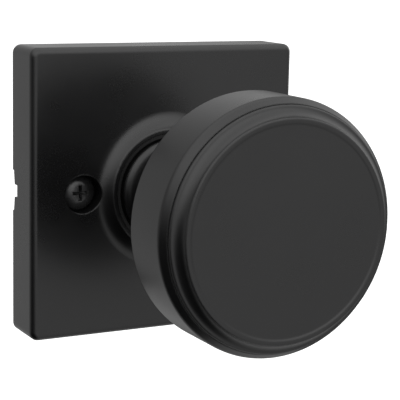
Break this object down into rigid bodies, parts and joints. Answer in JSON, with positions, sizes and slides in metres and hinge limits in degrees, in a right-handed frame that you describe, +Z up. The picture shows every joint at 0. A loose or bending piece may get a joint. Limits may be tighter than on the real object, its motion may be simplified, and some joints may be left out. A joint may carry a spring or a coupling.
{
  "type": "door knob with square rose",
  "caption": "Drum-shaped door knob on a flared neck, turning in a square rose with exposed through screws, a return spring and a square spindle that works a latch.",
  "frame": {"origin": "on the knob's turning axis, in the plane of the door face that the rose lies on", "axes": "+Z up the door, +X to the right seen from the room, +Y into the door along the spindle, so the knob stands out towards -Y"},
  "size_m": [0.0666, 0.1294, 0.0666],
  "materials": {
    "rose_black": "satin matte-black powder coat on die-cast zinc",
    "knob_black": "satin matte-black powder coat on spun and turned metal",
    "screw_black": "black zinc screw, slightly glossier than the cover",
    "bushing_nylon": "black nylon, matte",
    "zinc_plated_steel": "bright zinc plate, faint rolling marks",
    "cage_steel": "drawn steel, zinc plated",
    "rivet_steel": "plain steel, satin",
    "spring_steel": "oil-tempered spring steel, dark grey",
    "hardened_steel": "hardened steel, satin grey",
    "shank_steel": "turned steel tube, lathe marks",
    "cast_zinc": "zinc die casting, dull grey",
    "spindle_steel": "cold-drawn square bar, zinc plated"
  },
  "bodies": {
    "rose": {"rose_cover": "rose_black", "mounting_screws": "screw_black", "neck_bushing": "bushing_nylon", "mounting_plate": "zinc_plated_steel", "screw_spacers": "zinc_plated_steel", "plate_clips": "spring_steel", "spring_cage": "cage_steel", "cage_cover": "cage_steel", "cage_rivets": "rivet_steel", "return_spring": "spring_steel"},
    "knob": {"knob_shank": "shank_steel", "knob_face": "knob_black", "knob_drum": "knob_black", "knob_back": "knob_black", "knob_core": "cast_zinc", "core_ring": "spring_steel", "thrust_washer": "hardened_steel", "retaining_ring": "spring_steel", "drive_cam": "hardened_steel", "spindle_hub": "cast_zinc", "spindle": "spindle_steel", "spindle_pin": "spring_steel"}
  },
  "joints": [
    {"name": "knob_turn", "type": "hinge", "parent": "rose", "child": "knob", "pos_m": [0, 0, 0], "axis": [0, -1, 0], "range_deg": [-55, 55], "stiffness_Nm_per_rad": 0.15, "deforming": ["return_spring"]}
  ]
}
